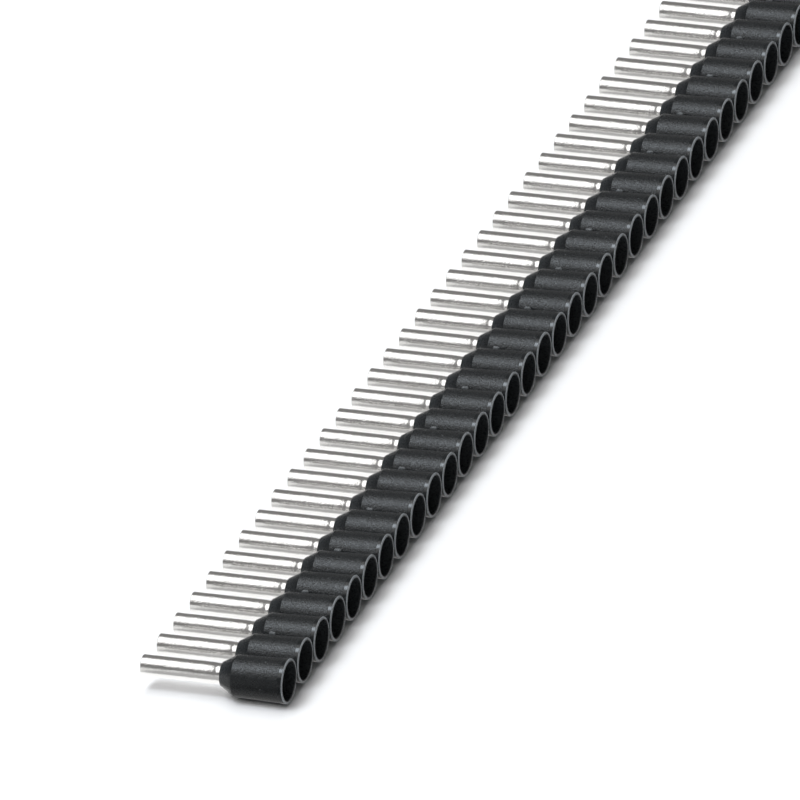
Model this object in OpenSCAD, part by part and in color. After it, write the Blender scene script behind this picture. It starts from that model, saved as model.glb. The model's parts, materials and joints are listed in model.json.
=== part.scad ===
// Strip of wire ferrules: one moulded row of plastic collars with a tinned copper sleeve in each.
// The strip runs along X, the wire goes in from -Y, and the bare sleeves point along +Y.

/* [Strip] */
// Number of ferrules in the strip
ferrule_count = 50; // [4:1:59]
// Distance from one ferrule's axis to the next
pitch = 4.5; // [4.35:0.05:5]
// Length of a ferrule from the collar's mouth to the sleeve's tip
ferrule_len = 14; // [13:0.5:20]

/* [Collar] */
// Diameter of the round hole that takes the wire's insulation
wire_bore_d = 3.6; // [3.3:0.05:3.65]
// Depth of that hole, from the mouth to the cone inside the nose
wire_depth = 4.8; // [4.7:0.05:4.9]
// Outer diameter of the collar at its mouth
mouth_d = 4.2; // [4.1:0.05:4.3]
// Outer diameter where the tapered wall meets the nose
shoulder_d = 3.9; // [3.85:0.05:4]
// Outer diameter of the nose at its small end
nose_d = 2.3; // [2.25:0.05:2.5]
// Length of the collar from its mouth to the end of its nose
collar_len = 6.35; // [6.2:0.05:7]
// Length of the conical nose
nose_len = 1.35; // [1.2:0.05:1.5]
// Length of the straight lip behind the mouth
lip_len = 0.45; // [0.3:0.05:0.6]
// Bevel on the lip's outer edge
lip_bevel = 0.06; // [0.03:0.01:0.1]
// How far the wall steps in behind the lip
lip_step = 0.025; // [0.01:0.005:0.04]

/* [Sleeve] */
// Diameter of the hole that takes the bare strands
strand_bore_d = 1.7; // [1.6:0.05:1.75]
// Thickness of the tube's wall
tube_wall = 0.15; // [0.12:0.01:0.18]
// Outer diameter of the funnel's rim, inside the collar
funnel_d = 3.24; // [2.8:0.02:3.3]
// Length of the bare flare that shows between the neck and the nose
flare_len = 0.6; // [0.5:0.05:1]
// Length over which the tube narrows to its neck
neck_len = 0.4; // [0.2:0.05:0.6]
// How far the tube necks in where the flare starts
neck_depth = 0.055; // [0.01:0.005:0.06]
// How far the flare's foot stands out past the tube where it enters the nose
flare_step = 0.07; // [0.04:0.01:0.1]
// Rounding of the tube's cut tip
tip_round = 0.06; // [0.03:0.01:0.07]

/* [Webs and gates] */
// Height of the web that joins two collars
web_h = 0.7; // [0.5:0.1:1]
// How far the web stays behind the mouth
web_inset = 0.6; // [0.5:0.1:1.5]
// Distance of the gate marks from the mouth
gate_y = 3.9; // [2.5:0.1:4.2]
// Length of a gate mark
gate_len = 0.8; // [0.6:0.1:1.2]
// Width of a gate mark
gate_w = 0.36; // [0.3:0.02:0.4]
// Height of a gate mark above its web
gate_h = 1; // [0.3:0.05:1.2]

/* [Hidden] */
// Radii of the collar, from the mouth to the nose
mouth_r = mouth_d / 2;
shoulder_r = shoulder_d / 2;
nose_r = nose_d / 2;
wire_bore_r = wire_bore_d / 2;
// Radii of the sleeve
strand_bore_r = strand_bore_d / 2;
tube_r = strand_bore_r + tube_wall;
neck_r = tube_r - neck_depth;
foot_r = tube_r + flare_step;
// The nose is a cone outside and inside. The inner cone is shallower, so the wall thins towards the end
shoulder_y = collar_len - nose_len;
seat_slope = (wire_bore_r - foot_r) / (collar_len - wire_depth);
// The sleeve's funnel lies on the inner cone and stops at its rim, short of the wire bore
rim_r = funnel_d / 2;
rim_y = collar_len - (rim_r - foot_r) / seat_slope;
// The bores are cut this far past an open end
over = 0.5;
// The row is centred on X and Y, and its mouths stand on Z = 0
axis_z = mouth_r;
mouth_y = -ferrule_len / 2;
first_x = -pitch * (ferrule_count - 1) / 2;
// Webs start and end this far inside the collars' walls
web_reach = wire_bore_r + 0.08;

function ferrule_x(i) = first_x + pitch * (i - 1);
function sleeve_name(i) = str("sleeve_", i < 10 ? "0" : "", i);

// Turns a profile of [radius, distance from the mouth] into a solid along +Y on ferrule i
module on_ferrule(i) {
    translate([ferrule_x(i), mouth_y, axis_z])
        rotate([-90, 0, 0])
            rotate_extrude($fn = 72)
                children();
}

module collar_outline() {
    polygon([
        [0, 0],
        [mouth_r - lip_bevel, 0],
        [mouth_r, lip_bevel],
        [mouth_r, lip_len],
        [mouth_r - lip_step, lip_len + lip_step],
        [shoulder_r, shoulder_y],
        [nose_r, collar_len],
        [0, collar_len]
    ]);
}

// The hole in a collar: the wire bore, then the cone that the sleeve's funnel is moulded into
module collar_bore_outline() {
    polygon([
        [0, -over],
        [wire_bore_r, -over],
        [wire_bore_r, wire_depth],
        [foot_r, collar_len],
        [foot_r, collar_len + over],
        [0, collar_len + over]
    ]);
}

module web(i) {
    x0 = ferrule_x(i) + web_reach;
    translate([x0, mouth_y + web_inset, axis_z - web_h / 2])
        cube([pitch - 2 * web_reach, shoulder_y - web_inset, web_h]);
}

// A torn-off gate: a small round-ended bar on the web between two collars
module gate_mark(i) {
    x_mid = ferrule_x(i) + pitch / 2;
    half = (gate_len - gate_w) / 2;
    translate([x_mid, mouth_y + gate_y, axis_z]) {
        for (y = [-half, half])
            translate([0, y, 0])
                cylinder(d = gate_w, h = web_h / 2 + gate_h, $fn = 24);
        translate([-gate_w / 2, -half, 0])
            cube([gate_w, 2 * half, web_h / 2 + gate_h]);
    }
}

module collar_strip() {
    color("#2b2d2f")
        difference() {
            union() {
                for (i = [1 : ferrule_count])
                    on_ferrule(i) collar_outline();
                for (i = [1 : ferrule_count - 1])
                    web(i);
                for (i = [2 : 2 : ferrule_count - 1])
                    gate_mark(i);
            }
            for (i = [1 : ferrule_count])
                on_ferrule(i) collar_bore_outline();
        }
}

// The tube's section: outside from the tip back to the funnel's rim, then the inside out again
module sleeve_outline() {
    polygon([
        [strand_bore_r, ferrule_len],
        [tube_r - tip_round, ferrule_len],
        [tube_r - 0.3 * tip_round, ferrule_len - 0.3 * tip_round],
        [tube_r, ferrule_len - tip_round],
        [tube_r, collar_len + flare_len + neck_len],
        [neck_r, collar_len + flare_len],
        [foot_r, collar_len],
        [rim_r, rim_y],
        [rim_r - tube_wall, rim_y],
        [strand_bore_r, collar_len - 0.1]
    ]);
}

module sleeve(i) {
    color("#cdccc9")
        on_ferrule(i) sleeve_outline();
}

collar_strip();
for (i = [1 : ferrule_count])
    sleeve(i);
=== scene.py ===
import json
import math

import bpy
import numpy as np
from mathutils import Matrix, Vector


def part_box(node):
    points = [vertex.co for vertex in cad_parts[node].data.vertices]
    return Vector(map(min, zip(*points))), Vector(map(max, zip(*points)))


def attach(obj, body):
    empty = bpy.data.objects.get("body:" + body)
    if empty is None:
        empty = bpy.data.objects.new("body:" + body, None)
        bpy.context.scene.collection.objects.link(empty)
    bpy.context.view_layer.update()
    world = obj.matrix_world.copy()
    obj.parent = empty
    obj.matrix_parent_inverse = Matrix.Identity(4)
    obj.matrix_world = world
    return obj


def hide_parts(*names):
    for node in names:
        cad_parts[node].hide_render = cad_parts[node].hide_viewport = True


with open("model.json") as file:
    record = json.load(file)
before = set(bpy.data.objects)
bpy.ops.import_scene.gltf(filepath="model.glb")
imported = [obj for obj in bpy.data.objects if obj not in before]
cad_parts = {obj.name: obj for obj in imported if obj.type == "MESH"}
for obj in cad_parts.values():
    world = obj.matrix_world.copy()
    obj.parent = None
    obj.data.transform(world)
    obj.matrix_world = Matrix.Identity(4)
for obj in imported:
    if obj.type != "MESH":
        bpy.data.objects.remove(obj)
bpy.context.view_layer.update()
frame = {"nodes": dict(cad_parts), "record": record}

mm = 0.001

# The row as the frame states it: the pieces below are built on these figures.
stripLow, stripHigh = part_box("collar_strip")
mouthY = stripLow.y
axisZ = (stripLow.z + stripHigh.z) / 2
mouthRadius = (stripHigh.z - stripLow.z) / 2
collarLength = stripHigh.y - stripLow.y
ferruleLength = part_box("sleeve_01")[1].y - mouthY
sleeveNames = sorted(name for name in frame["nodes"] if name.startswith("sleeve_"))
mounts = {mount["name"]: mount for mount in frame["record"]["mounts"]}


def ferruleX(name):
    low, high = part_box(name)
    return (low.x + high.x) / 2


ferruleXs = [ferruleX(name) for name in sleeveNames]
pitch = ferruleXs[1] - ferruleXs[0]
wireBore = mounts["wire_entry_01"]["dims"]["r_mm"] * mm
wireDepth = mounts["wire_entry_01"]["dims"]["length_mm"] * mm
strandBore = mounts["strand_bore_01"]["dims"]["r_mm"] * mm
tubeRadius = mounts["sleeve_end_01"]["dims"]["r_mm"] * mm
print("row:", len(sleeveNames), "ferrules, pitch", round(pitch / mm, 3), "mm")


def roundedProfile(corners, arcSteps=4, support=0.04 * mm, longestCut=0.45, straight=0.01):
    # A closed outline of (radius, distance, fillet) corners. A fillet is an arc tangent to both sides: its
    # ends lie at fillet * tan(turn / 2) from the corner, and no further than longestCut of a side. A point
    # on it is the centre plus the arms to the two ends, each times the sine of the turn left to the other
    # end over the sine of the whole turn. A support point stands beyond each end and keeps the side flat.
    points = []
    spots = np.array([corner[:2] for corner in corners], float)
    for k, (_, _, fillet) in enumerate(corners):
        here = spots[k]
        back = spots[k - 1] - here
        ahead = spots[(k + 1) % len(corners)] - here
        backLength, aheadLength = np.linalg.norm(back), np.linalg.norm(ahead)
        backUnit, aheadUnit = back / backLength, ahead / aheadLength
        turn = math.pi - math.acos(np.clip(backUnit @ aheadUnit, -1, 1))
        if fillet <= 0 or turn < straight:
            points.append(here)
            continue
        reach = min(fillet * math.tan(turn / 2), longestCut * backLength, longestCut * aheadLength)
        radius = reach / math.tan(turn / 2)
        inwards = backUnit + aheadUnit
        centre = here + inwards / np.linalg.norm(inwards) * radius / math.cos(turn / 2)
        startArm = here + backUnit * reach - centre
        endArm = here + aheadUnit * reach - centre
        if reach + support < backLength / 2:
            points.append(here + backUnit * (reach + support))
        for t in np.linspace(0, 1, arcSteps + 1):
            startShare, endShare = math.sin((1 - t) * turn), math.sin(t * turn)
            points.append(centre + (startArm * startShare + endArm * endShare) / math.sin(turn))
        if reach + support < aheadLength / 2:
            points.append(here + aheadUnit * (reach + support))
    return np.array(points)


def revolved(profile, segments, x):
    # Point (i, j) is profile point i turned by angle a_j about the ferrule's axis:
    # x + r cos a, y, axisZ + r sin a. The profile is closed, so the grid wraps both ways.
    angle = np.linspace(0, 2 * np.pi, segments, endpoint=False)
    r, y = profile[:, :1], profile[:, 1:]
    px = x + r * np.cos(angle)
    pz = axisZ + r * np.sin(angle)
    py = mouthY + np.broadcast_to(y, px.shape)
    return np.stack([px, py, pz], axis=-1).reshape(-1, 3)


def wrappedFaces(rows, cols):
    # Quads of a grid whose rows and columns both wrap round
    i, j = np.meshgrid(np.arange(rows), np.arange(cols), indexing="ij")
    nextI, nextJ = (i + 1) % rows, (j + 1) % cols
    quads = [i * cols + j, i * cols + nextJ, nextI * cols + nextJ, nextI * cols + j]
    return np.stack(quads, axis=-1).reshape(-1, 4)


def cappedRings(rings):
    # Rings of equal count joined by quads, with a fan to the middle of the first and of the last
    count, around = rings.shape[:2]
    points = np.concatenate([rings.reshape(-1, 3), [rings[0].mean(0), rings[-1].mean(0)]])
    firstMiddle, lastMiddle = count * around, count * around + 1
    i, j = np.meshgrid(np.arange(count - 1), np.arange(around), indexing="ij")
    nextJ = (j + 1) % around
    here, above = i * around, (i + 1) * around
    quads = np.stack([here + j, here + nextJ, above + nextJ, above + j], -1).reshape(-1, 4)
    k = np.arange(around)
    nextK = (k + 1) % around
    last = (count - 1) * around
    firstFan = np.stack([np.full(around, firstMiddle), nextK, k], -1)
    lastFan = np.stack([np.full(around, lastMiddle), last + k, last + nextK], -1)
    return points, quads, np.concatenate([firstFan, lastFan])


def makeMesh(name, points, faceSets):
    # faceSets holds one index array per polygon size
    sizes = np.concatenate([np.full(len(faces), faces.shape[1]) for faces in faceSets])
    loops = np.concatenate([faces.ravel() for faces in faceSets])
    mesh = bpy.data.meshes.new(name)
    mesh.vertices.add(len(points))
    mesh.vertices.foreach_set("co", points.astype(np.float32).ravel())
    mesh.loops.add(len(loops))
    mesh.loops.foreach_set("vertex_index", loops.astype(np.int32))
    mesh.polygons.add(len(sizes))
    starts = np.concatenate([[0], np.cumsum(sizes)[:-1]])
    mesh.polygons.foreach_set("loop_start", starts.astype(np.int32))
    mesh.polygons.foreach_set("use_smooth", np.ones(len(sizes), bool))
    mesh.update(calc_edges=True)
    mesh.validate()
    return mesh


def makePiece(name, mesh, material, slotName, *nodes):
    # The piece stands in for the frame's nodes named last
    mesh.materials.append(material)
    piece = bpy.data.objects.new(name, mesh)
    bpy.context.scene.collection.objects.link(piece)
    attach(piece, "root")
    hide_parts(*nodes)
    return piece


# A Mix node's sockets share their names, so they are told apart by number
mixFactor, floatA, floatB, colourA, colourB = 0, 2, 3, 6, 7
colourResult = 2


def newMaterial(name):
    material = bpy.data.materials.new(name)
    material.use_nodes = True
    return material, material.node_tree, material.node_tree.nodes["Principled BSDF"]


def connect(tree, node, inputs):
    # Each input is linked to another node's output, or takes a plain value
    for key, source in inputs.items():
        socket = node.inputs[key]
        if isinstance(source, bpy.types.NodeSocket):
            tree.links.new(source, socket)
        elif socket.type == "RGBA":
            socket.default_value = (*source, 1)
        else:
            socket.default_value = source


def addNode(tree, kind, inputs=None, **settings):
    node = tree.nodes.new(kind)
    for key, value in settings.items():
        setattr(node, key, value)
    connect(tree, node, inputs or {})
    return node


def worked(tree, operation, *terms):
    # A Math node on other nodes' outputs and plain numbers
    return addNode(tree, "ShaderNodeMath", dict(enumerate(terms)), operation=operation).outputs[0]


def mixColour(tree, factor, first, second):
    inputs = {mixFactor: factor, colourA: first, colourB: second}
    return addNode(tree, "ShaderNodeMix", inputs, data_type="RGBA").outputs[colourResult]


def mixValue(tree, factor, first, second):
    inputs = {mixFactor: factor, floatA: first, floatB: second}
    return addNode(tree, "ShaderNodeMix", inputs, data_type="FLOAT").outputs[0]


def ramped(tree, factor, low, high, fromLow=0.3, fromHigh=0.7):
    # From low to high while the factor goes over its span, by default that of a noise, and level beyond it
    inputs = {"Value": factor, "From Min": fromLow, "From Max": fromHigh, "To Min": low, "To Max": high}
    return addNode(tree, "ShaderNodeMapRange", inputs).outputs["Result"]


def bumped(tree, height, depth, before=None):
    inputs = {"Height": height, "Strength": 1.0, "Distance": depth}
    if before is not None:
        inputs["Normal"] = before
    return addNode(tree, "ShaderNodeBump", inputs).outputs["Normal"]


def newGroup(name, inputs, outputs):
    group = bpy.data.node_groups.new(name, "ShaderNodeTree")
    for label, kind, value in inputs:
        socket = group.interface.new_socket(name=label, in_out="INPUT", socket_type=kind)
        socket.default_value = value
    for label in outputs:
        group.interface.new_socket(name=label, in_out="OUTPUT", socket_type="NodeSocketFloat")
    return group, group.nodes.new("NodeGroupInput"), group.nodes.new("NodeGroupOutput")


grainNoise = {
    "Fine": {"Detail": 3.0, "Roughness": 0.6},
    "Coarse": {"Detail": 3.0, "Roughness": 0.55},
    "Speck": {"Detail": 1.0, "Roughness": 0.5},
}
speckFrom = (0.70, 0.78)  # only the noise's rare peaks become specks


def makeGrainGroup():
    # Grain in millimetres: a fine and a coarse noise, and a few specks. Stretch slows it along an axis.
    group, entry, leave = newGroup(
        "surfaceGrain",
        [("Fine Scale", "NodeSocketFloat", 9.0), ("Coarse Scale", "NodeSocketFloat", 1.6),
         ("Speck Scale", "NodeSocketFloat", 6.0), ("Stretch", "NodeSocketVector", (1, 1, 1))],
        list(grainNoise),
    )
    coord = addNode(group, "ShaderNodeTexCoord").outputs["Object"]
    inMm = addNode(group, "ShaderNodeVectorMath", {0: coord, 1: (1 / mm,) * 3}, operation="MULTIPLY")
    scaling = {0: inMm.outputs[0], 1: entry.outputs["Stretch"]}
    place = addNode(group, "ShaderNodeVectorMath", scaling, operation="MULTIPLY").outputs[0]
    for label, settings in grainNoise.items():
        inputs = {"Vector": place, "Scale": entry.outputs[label + " Scale"], **settings}
        noise = addNode(group, "ShaderNodeTexNoise", inputs).outputs["Fac"]
        mask = ramped(group, noise, 0, 1, *speckFrom) if label == "Speck" else noise
        connect(group, leave, {label: mask})
    return group


grainGroup = makeGrainGroup()


def addGrain(tree, look):
    inputs = {
        "Fine Scale": look["fineScale"],
        "Coarse Scale": look["coarseScale"],
        "Stretch": look["stretch"],
    }
    return addNode(tree, "ShaderNodeGroup", inputs, node_tree=grainGroup)


blackPlastic = {
    "dark": (0.0040, 0.0050, 0.0058),
    "light": (0.0085, 0.0105, 0.0122),
    # light grey for the whitened gates, the mouth ring's painted highlight and the bore's painted light
    "whitenedAndPaintedLightGrey": (0.245, 0.262, 0.275),
    "dust": 0.22,
    "fineShare": 0.4,
    "roughLow": 0.22,
    "roughHigh": 0.38,
    "roughReach": 0.25,
    "polished": 0.17,
    "fineScale": 11.0,
    "coarseScale": 5.5,
    "stretch": (1.0, 0.75, 1.0),
    "grainDepth": 0.032 * mm,
    "polishedGrain": 0.12,
    "ior": 1.5,
}


def makeBlackPlastic(name, look):
    # Satin moulding. "polish" is 1 on the lip, where the tool was smooth. The second attribute is 1 on the
    # mouth's ring as a painted highlight, less on the whitened gates, and a little in the bore as painted
    # light in its shade.
    material, tree, shader = newMaterial(name)
    grain = addGrain(tree, look)
    polish = addNode(tree, "ShaderNodeAttribute", attribute_name="polish").outputs["Fac"]
    paintedLightAndWhitening = addNode(tree, "ShaderNodeAttribute", attribute_name="paintedLightAndWhitening").outputs["Fac"]
    body = mixColour(tree, grain.outputs["Coarse"], look["dark"], look["light"])
    dust = worked(tree, "MULTIPLY", grain.outputs["Speck"], look["dust"])
    # dust specks and whitened gates, with the painted highlight on the mouth's ring and painted light in
    # the bore
    dustWhiteningAndPaintedLight = worked(tree, "MAXIMUM", dust, paintedLightAndWhitening)
    # The grain's height is the coarse noise plus a share of the fine, with half of 1 + share as its mean
    fine, coarse = grain.outputs["Fine"], grain.outputs["Coarse"]
    height = worked(tree, "MULTIPLY_ADD", fine, look["fineShare"], coarse)
    mean = 0.5 + 0.5 * look["fineShare"]
    reach = look["roughReach"]
    satin = ramped(tree, height, look["roughLow"], look["roughHigh"], mean - reach, mean + reach)
    grainLeft = ramped(tree, polish, 1, look["polishedGrain"], 0, 1)
    relief = worked(tree, "MULTIPLY", height, grainLeft)
    connect(tree, shader, {
        "Base Color": mixColour(tree, dustWhiteningAndPaintedLight, body, look["whitenedAndPaintedLightGrey"]),
        "Roughness": mixValue(tree, polish, satin, look["polished"]),
        "Normal": bumped(tree, relief, look["grainDepth"]),
        "IOR": look["ior"],
    })
    return material


tinPlate = {
    "dark": (0.70, 0.688, 0.672),
    "light": (0.89, 0.887, 0.88),
    "roughLow": 0.08,
    "roughHigh": 0.18,
    "fineScale": 7.0,
    "coarseScale": 1.5,
    "stretch": (1.0, 0.16, 1.0),
    "lineDepth": 0.012 * mm,
    "mottleScale": 8.0,
    "mottleStretch": (1.0, 0.6, 1.0),
    "mottleDepth": 0.014 * mm,
}


def makeTinPlate(name, look):
    # Bright plating over drawn tube: lines along the tube, and a rounder mottle that breaks reflections up
    material, tree, shader = newMaterial(name)
    lines = addGrain(tree, look)
    mottle = addGrain(tree, {**look, "fineScale": look["mottleScale"], "stretch": look["mottleStretch"]})
    drawn = bumped(tree, lines.outputs["Fine"], look["lineDepth"])
    connect(tree, shader, {
        "Base Color": mixColour(tree, lines.outputs["Coarse"], look["dark"], look["light"]),
        "Metallic": 1.0,
        "Roughness": ramped(tree, lines.outputs["Fine"], look["roughLow"], look["roughHigh"]),
        "Normal": bumped(tree, mottle.outputs["Fine"], look["mottleDepth"], drawn),
    })
    return material


plasticMaterial = makeBlackPlastic("satinBlackPolypropylene", blackPlastic)
tinMaterial = makeTinPlate("tinnedCopper", tinPlate)
print("materials made")

collarShape = {
    "segments": 44,
    "mouthInnerRound": 0.07 * mm,
    "lipRound": 0.09 * mm,
    "lipLength": 0.45 * mm,
    "lipStep": 0.025 * mm,
    "stepRound": 0.02 * mm,
    "shoulderRadius": 1.95 * mm,
    "shoulderRound": 0.12 * mm,
    "noseLength": 1.35 * mm,
    "noseRadius": 1.15 * mm,
    "noseRound": 0.05 * mm,
    "footRadius": 1.05 * mm,  # the seat cone's narrow end, where the sleeve leaves the nose
    "glossFrom": 0.12 * mm,
    "glossDepth": 0.02 * mm,
    # the mouth's ring, drawn light grey as a painted highlight
    "ringHighlightLength": 0.075 * mm,
    "ringHighlightWidth": 0.19 * mm,
    # how much lighter the bore is drawn: painted light in its shade
    "paintedLightInBore": 0.08,
    "slack": 0.01 * mm,  # how far off an edge a point may be and still count as on it
}


def collarProfile(shape):
    # From the mouth's inner edge over the lip, the drafted wall and the nose, and back along the seat cone
    stepRadius = mouthRadius - shape["lipStep"]
    return roundedProfile([
        (wireBore, 0, shape["mouthInnerRound"]),
        (mouthRadius, 0, shape["lipRound"]),
        (mouthRadius, shape["glossFrom"], 0),
        (mouthRadius, shape["lipLength"], shape["stepRound"]),
        (stepRadius, shape["lipLength"] + shape["lipStep"], shape["stepRound"]),
        (shape["shoulderRadius"], collarLength - shape["noseLength"], shape["shoulderRound"]),
        (shape["noseRadius"], collarLength, shape["noseRound"]),
        (shape["footRadius"], collarLength, 0),
        (wireBore, wireDepth, 0),
    ])


webShape = {
    "start": 0.6 * mm,  # from the mouth, as the end is
    "end": 5.0 * mm,
    "halfHeight": 0.35 * mm,
    "fromAxis": 1.88 * mm,
    "endRound": 0.06 * mm,
    "endSteps": 4,
}


def webPiece(shape, x):
    # A flat bar between two collars, run along Y. Its ends are quarter rounds: at turn t the bar is lower
    # by endRound * (1 - cos t), and endRound * (1 - sin t) short of its full length.
    turns = np.linspace(0, np.pi / 2, shape["endSteps"])
    inset = shape["endRound"] * (1 - np.cos(turns))
    short = shape["endRound"] * (1 - np.sin(turns))
    y = np.concatenate([shape["start"] + short[::-1], shape["end"] - short])[:, None]
    height = shape["halfHeight"] - np.concatenate([inset[::-1], inset])[:, None]
    across = (pitch / 2 - shape["fromAxis"]) * np.array([-1, 1, 1, 1, 0, -1, -1])
    up = height * np.array([-1, -1, 0, 1, 1, 1, 0])
    return cappedRings(np.stack(np.broadcast_arrays(x + across, mouthY + y, axisZ + up), -1))


gateShape = {
    "fromMouth": 3.9 * mm,
    "length": 0.66 * mm,
    "width": 0.34 * mm,
    "top": 1.35 * mm,
    "segments": 24,
    "edge": 0.10 * mm,
    "torn": 0.025 * mm,
    "tornWaves": [(2, 1.0, 1.0), (3, 0.6, 2.3)],  # turns, height, and share of the gate's own start
    "nextStart": 1.7,  # how much further on the next gate's waves start
    "levels": [
        (0, 0, 0),  # shares of the top's height, of the edge's inset and of the tear
        (0.7, 0, 0),
        (0.93, 0, 0.6),
        (0.985, 0.4, 1),
        (1, 1, 1),
    ],
    "whitened": 0.42,
    "whiteFrom": 1.15 * mm,
}


def gatePiece(shape, x, start):
    # A stadium in plan, run up from the web, its top torn: a point's height is its level, plus torn times
    # the level's share of it times the sum of the waves round the edge.
    angle = np.linspace(0, 2 * np.pi, shape["segments"], endpoint=False)
    halfWidth = shape["width"] / 2
    straight = (shape["length"] - shape["width"]) / 2
    planX = halfWidth * np.cos(angle)
    planY = halfWidth * np.sin(angle)
    planY += np.where(planY >= 0, straight, -straight)
    waves = sum(size * np.sin(turns * angle + share * start) for turns, size, share in shape["tornWaves"])
    height, inset, torn = (column[:, None] for column in np.array(shape["levels"]).T)
    shrink = 1 - inset * shape["edge"] / halfWidth
    z = axisZ + shape["top"] * height + torn * shape["torn"] * waves
    return cappedRings(np.stack([x + planX * shrink, mouthY + shape["fromMouth"] + planY * shrink, z], -1))


def buildCollars(shape, web, gate):
    # The moulding is one mesh. "polish" tags the smooth lip. The second attribute is the mouth's ring,
    # drawn light grey as a painted highlight, the whitened gates and, faintly, painted light in the shade
    # of what is
    # no wider than the bore: its wall, the seat and the nose's end.
    profile = collarProfile(shape)
    radius, distance = profile.T
    onLip = (distance > shape["glossFrom"] - shape["slack"]) & (distance < shape["lipLength"])
    onLip &= radius > mouthRadius - shape["glossDepth"]
    # painted highlight on the mouth's ring
    onRing = (distance < shape["ringHighlightLength"]) & (radius > mouthRadius - shape["ringHighlightWidth"])
    # painted light in the shade of the bore's wall, the seat and the nose's end
    inBore = radius < wireBore + shape["slack"]
    polishOne = np.repeat(np.where(onLip, 1.0, 0.0), shape["segments"])
    paintedLightOne = np.repeat(np.select([onRing, inBore], [1.0, shape["paintedLightInBore"]], 0.0), shape["segments"])
    ringFaces = wrappedFaces(len(profile), shape["segments"])
    noTriangles = np.zeros((0, 3), int)
    parts = [(revolved(profile, shape["segments"], x), ringFaces, noTriangles, polishOne, paintedLightOne)
             for x in ferruleXs]
    valleys = [(a + b) / 2 for a, b in zip(ferruleXs, ferruleXs[1:])]
    joins = [webPiece(web, x) for x in valleys]
    joins += [gatePiece(gate, x, gate["nextStart"] * k) for k, x in enumerate(valleys[1::2])]
    for points, quads, triangles in joins:
        white = np.where(points[:, 2] > axisZ + gate["whiteFrom"], gate["whitened"], 0.0)
        parts.append((points, quads, triangles, np.zeros(len(points)), white))
    points, quads, triangles, polish, paintedLightAndWhitening = zip(*parts)
    firsts = np.cumsum([0, *map(len, points)])
    faceSets = []
    for kind in (quads, triangles):
        faceSets.append(np.concatenate([faces + first for faces, first in zip(kind, firsts)]))
    mesh = makeMesh("collarRow", np.concatenate(points), faceSets)
    for label, values in (("polish", polish), ("paintedLightAndWhitening", paintedLightAndWhitening)):
        attribute = mesh.attributes.new(label, "FLOAT", "POINT")
        attribute.data.foreach_set("value", np.concatenate(values).astype(np.float32))
    return mesh


collarMesh = buildCollars(collarShape, webShape, gateShape)
collarPiece = makePiece("collarRow", collarMesh, plasticMaterial, "black_collar", "collar_strip")
print("collars:", sum(len(p.vertices) - 2 for p in collarMesh.polygons), "triangles")

sleeveShape = {
    "segments": 48,
    "tipRound": 0.06 * mm,
    "innerRound": 0.03 * mm,
    "easeLength": 0.45 * mm,  # from the plain tube to the taper
    "easeDepth": 0.012 * mm,
    "easeRound": 8 * mm,
    "taperRound": 2 * mm,
    "neckDepth": 0.042 * mm,
    "neckLength": 0.34 * mm,  # from the taper to the narrowest place
    "neckRound": 1.4 * mm,
    "flareLength": 0.34 * mm,  # from there to the collar
    "trumpetLength": 0.03 * mm,
    "trumpetRadius": 1.005 * mm,
    "trumpetRound": 0.6 * mm,
    "footRound": 0.05 * mm,
    "rimRadius": 1.62 * mm,  # the funnel's wide end, inside the collar
    "funnelLength": 0.1 * mm,
    "funnelRound": 0.2 * mm,
}


def sleeveProfile(shape, collar):
    # Tip, tube easing into the neck, flare, the funnel's outside down the seat cone, its rim, its inside.
    # The rim lies behind the foot by what it is wider, times the seat's slope: its length over its width.
    wall = tubeRadius - strandBore
    neckY = collarLength + shape["flareLength"]
    easeY = neckY + shape["neckLength"]
    slope = (collarLength - wireDepth) / (wireBore - collar["footRadius"])
    rimY = collarLength - (shape["rimRadius"] - collar["footRadius"]) * slope
    return roundedProfile([
        (strandBore, ferruleLength, shape["innerRound"]),
        (tubeRadius, ferruleLength, shape["tipRound"]),
        (tubeRadius, easeY + shape["easeLength"], shape["easeRound"]),
        (tubeRadius - shape["easeDepth"], easeY, shape["taperRound"]),
        (tubeRadius - shape["neckDepth"], neckY, shape["neckRound"]),
        (shape["trumpetRadius"], collarLength + shape["trumpetLength"], shape["trumpetRound"]),
        (collar["footRadius"], collarLength, shape["footRound"]),
        (shape["rimRadius"], rimY, 0),
        (shape["rimRadius"] - wall, rimY, shape["innerRound"]),
        (strandBore, collarLength - shape["funnelLength"], shape["funnelRound"]),
    ])


def buildSleeves(shape, collar):
    outline = sleeveProfile(shape, collar)
    faces = wrappedFaces(len(outline), shape["segments"])
    for name, x in zip(sleeveNames, ferruleXs):
        mesh = makeMesh("tinned_" + name, revolved(outline, shape["segments"], x), [faces])
        makePiece("tinned_" + name, mesh, tinMaterial, "tinned_copper", name)
    print("sleeves:", len(faces) * 2, "triangles each")


buildSleeves(sleeveShape, collarShape)

floorLook = {
    "size": 8.0,  # metres
    "colour": (0.93, 0.93, 0.935),
    "roughness": 0.9,
    "specular": 0.1,
    # what the floor glows with in reflections: a painted reflection
    "mirroredNear": (1.25, 1.25, 1.25),
    "mirroredFar": (0.50, 0.50, 0.496),
    "mirroredPastTips": (0.95, 0.95, 0.945),
    "fadeBy": (2.2 * mm, 2.55 * mm),  # the reflected ray's length
    "pastTips": (0.3 * mm, 1.3 * mm),  # from the tips, where it turns pale
    # the painted shadow under the collars, as a share of that glow
    "paintedShadeUnderCollars": 0.36,
    "pastNoses": (-0.4 * mm, 0.3 * mm),  # from the noses, where the painted shadow under the collars ends
}


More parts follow.
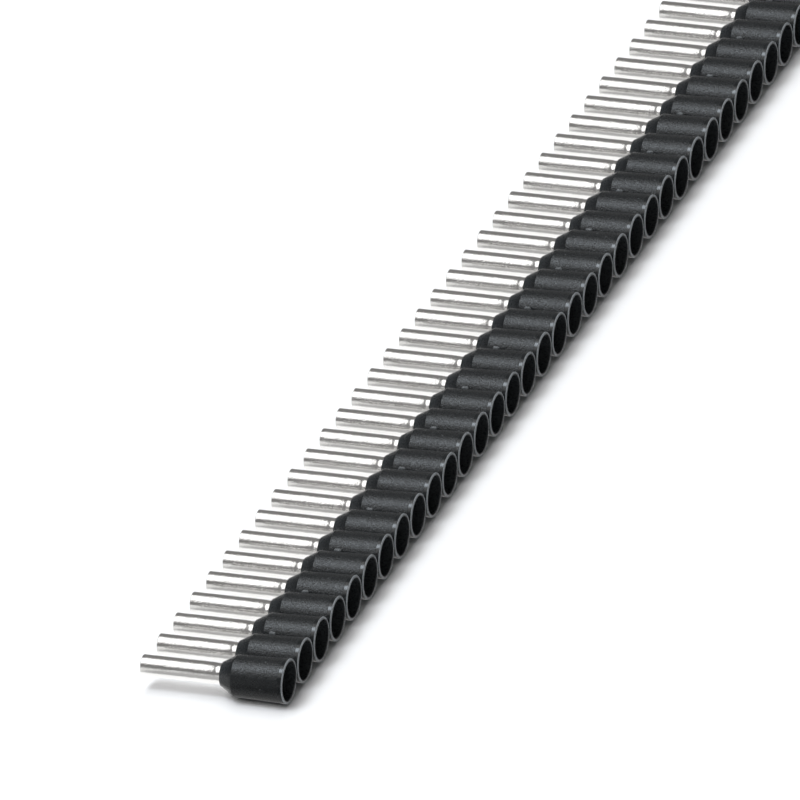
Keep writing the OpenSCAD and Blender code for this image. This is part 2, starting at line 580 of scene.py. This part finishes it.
def buildFloor(look):
    # Plain to the camera. To glossy rays it glows instead of being lit, a painted reflection: white close
    # below the bare sleeves and grey once the reflected ray is longer, or pale if it lands past the tips,
    # with a painted shadow, darker where the collars stand.
    half = look["size"] / 2
    corners = [(-half, -half, 0), (half, -half, 0), (half, half, 0), (-half, half, 0)]
    mesh = bpy.data.meshes.new("studioFloor")
    mesh.from_pydata(corners, [], [(0, 1, 2, 3)])
    material, tree, shader = newMaterial("paleFloor")
    connect(tree, shader, {
        "Base Color": look["colour"],
        "Roughness": look["roughness"],
        "Specular IOR Level": look["specular"],
    })
    path = addNode(tree, "ShaderNodeLightPath")
    coord = addNode(tree, "ShaderNodeTexCoord").outputs["Object"]
    placeY = addNode(tree, "ShaderNodeSeparateXYZ", {0: coord}).outputs["Y"]
    noseEdge = [mouthY + collarLength + offset for offset in look["pastNoses"]]
    tipEdge = [mouthY + ferruleLength + offset for offset in look["pastTips"]]
    # painted shadow: the glow is dimmer where the collars stand
    paintedCollarShade = ramped(tree, placeY, look["paintedShadeUnderCollars"], 1, *noseEdge)
    pastTips = ramped(tree, placeY, 0, 1, *tipEdge)
    away = ramped(tree, path.outputs["Ray Length"], 0, 1, *look["fadeBy"])
    far = mixColour(tree, pastTips, look["mirroredFar"], look["mirroredPastTips"])
    near = mixColour(tree, away, look["mirroredNear"], far)
    mirrored = addNode(tree, "ShaderNodeEmission", {"Color": near, "Strength": paintedCollarShade})
    sources = {0: path.outputs["Is Glossy Ray"], 1: shader.outputs[0], 2: mirrored.outputs[0]}
    choose = addNode(tree, "ShaderNodeMixShader", sources)
    connect(tree, tree.nodes["Material Output"], {"Surface": choose.outputs[0]})
    mesh.materials.append(material)
    floor = bpy.data.objects.new("studioFloor", mesh)
    bpy.context.scene.collection.objects.link(floor)
    return floor


# A light's direction: across is the angle from +X to +Z, along is the lean towards +Y. Lengths are metres.
softboxLook = {
    "across": 109.5,
    "along": 29.0,
    "distance": 1.4,
    "size": (1.80, 0.84),
    "radiance": 1.6,
    "tint": (1.0, 1.0, 1.0),
}
lampLook = {
    "across": 109.0,
    "along": 20.0,
    "distance": 1.35,
    "size": (0.44, 0.40),
    "radiance": 7.0,
    "tint": (0.89, 1.0, 1.11),
}
fillLook = {
    "place": (0, 0.43, 1.6),
    "size": (5.0, 0.95),
    "radiance": 3.25,
    "tint": (1.0, 1.0, 1.0),
}


def addAreaLight(name, look, turn, place):
    # The area of an ellipse is pi / 4 * width * length, and a light's power is radiance * pi * area
    width, length = look["size"]
    light = bpy.data.lights.new(name, "AREA")
    light.shape = "ELLIPSE"
    light.size, light.size_y = width, length
    light.energy = look["radiance"] * math.pi * math.pi / 4 * width * length
    light.color = look["tint"]
    holder = bpy.data.objects.new(name, light)
    holder.matrix_world = Matrix.Translation(place) @ turn.to_4x4()
    holder.visible_camera = False
    bpy.context.scene.collection.objects.link(holder)
    return holder


def aimedLight(name, look):
    # It stands at cos across * cos along, sin along, sin across * cos along, times the distance, and faces
    # the middle of the row.
    across, along = math.radians(look["across"]), math.radians(look["along"])
    flat = math.cos(along)
    toward = Vector((math.cos(across) * flat, math.sin(along), math.sin(across) * flat))
    widthAxis = Vector((math.sin(across), 0, -math.cos(across)))
    turn = Matrix((widthAxis, toward.cross(widthAxis), toward)).transposed()
    return addAreaLight(name, look, turn, toward * look["distance"])


def buildLights(softboxLook, lampLook, fillLook, receivers):
    # The softbox is what the tin mirrors. The lamp in front of it shapes the collars' sheen, and light
    # linking keeps it off the tin. The fill, set back overhead, whitens the floor and isn't mirrored.
    aimedLight("softbox", softboxLook)
    lamp = aimedLight("lamp", lampLook)
    litByLamp = bpy.data.collections.new("litByLamp")
    for receiver in receivers:
        litByLamp.objects.link(receiver)
    lamp.light_linking.receiver_collection = litByLamp
    fill = addAreaLight("overheadFill", fillLook, Matrix.Identity(3), Vector(fillLook["place"]))
    fill.visible_glossy = False


roomLook = {
    "diffuse": 0.10,
    "backdrop": 0.9,
    "stops": [
        (-0.30, (0.44, 0.437, 0.43)),  # lean towards +Y, and the colour there
        (0.15, (0.235, 0.232, 0.228)),
        (0.50, (0.235, 0.232, 0.228)),
        (0.85, (0.10, 0.10, 0.10)),
    ],
    "overhead": (1.05, 1.047, 1.04),
    "overheadFrom": (0.42, 0.72),  # the direction's Z, where the pale part comes in
    "overheadFade": (0.03, -0.2),  # and its Y
}


def buildRoom(look):
    # Reflections show a grey gradient along Y with a pale part overhead on the mouths' side. The camera
    # sees a plain pale backdrop, and all other rays a plain dim room.
    world = bpy.data.worlds.new("room")
    world.use_nodes = True
    tree = world.node_tree
    coord = addNode(tree, "ShaderNodeTexCoord").outputs["Generated"]
    axes = addNode(tree, "ShaderNodeSeparateXYZ", {0: coord})
    level = addNode(tree, "ShaderNodeValToRGB", {0: ramped(tree, axes.outputs["Y"], 0, 1, -1, 1)})
    level.color_ramp.interpolation = "EASE"
    stops = level.color_ramp.elements
    for leanTowardsY, colour in look["stops"]:
        stops.new(0.5 + 0.5 * leanTowardsY).color = (*colour, 1)
    stops.remove(stops[0])
    stops.remove(stops[-1])
    high = ramped(tree, axes.outputs["Z"], 0, 1, *look["overheadFrom"])
    mouthSide = ramped(tree, axes.outputs["Y"], 0, 1, *look["overheadFade"])
    glow = worked(tree, "MULTIPLY", high, mouthSide)
    mirrored = mixColour(tree, glow, level.outputs["Color"], look["overhead"])
    path = addNode(tree, "ShaderNodeLightPath")
    plain = ramped(tree, path.outputs["Is Camera Ray"], look["diffuse"], look["backdrop"], 0, 1)
    seen = mixColour(tree, path.outputs["Is Glossy Ray"], plain, mirrored)
    connect(tree, tree.nodes["Background"], {"Color": seen})
    bpy.context.scene.world = world
    bpy.context.scene.view_settings.view_transform = "Standard"


viewpoint = {
    "aimFerrule": 14.16,  # counted along the row from 1
    "aimBehindMouth": 9.81 * mm,
    "azimuth": -69.89,
    "elevation": 25.05,
    "roll": -2.57,
    "distance": 2.2516,
    "lens": 1093.8,
    "sensor": 36,
    "clip": (0.1, 20),
}


def buildCamera(view):
    # Azimuth goes from -Y towards +X and elevation is above the floor. The camera stands back from its aim
    # along sin azimuth * cos elevation, -cos azimuth * cos elevation, sin elevation, and is then rolled.
    data = bpy.data.cameras.new("camera")
    data.lens = view["lens"]
    data.sensor_width = view["sensor"]
    data.clip_start, data.clip_end = view["clip"]
    camera = bpy.data.objects.new("camera", data)
    azimuth, elevation = math.radians(view["azimuth"]), math.radians(view["elevation"])
    flat = math.cos(elevation)
    back = Vector((math.sin(azimuth) * flat, -math.cos(azimuth) * flat, math.sin(elevation)))
    aimX = ferruleXs[0] + pitch * (view["aimFerrule"] - 1)
    aim = Vector((aimX, mouthY + view["aimBehindMouth"], axisZ))
    roll = Matrix.Rotation(math.radians(view["roll"]), 3, "Z")
    turn = (-back).to_track_quat("-Z", "Y").to_matrix() @ roll
    camera.matrix_world = Matrix.Translation(aim + back * view["distance"]) @ turn.to_4x4()
    bpy.context.scene.collection.objects.link(camera)
    bpy.context.scene.camera = camera


studioFloor = buildFloor(floorLook)
buildLights(softboxLook, lampLook, fillLook, (collarPiece, studioFloor))
buildRoom(roomLook)
buildCamera(viewpoint)
print("floor, light and camera set")
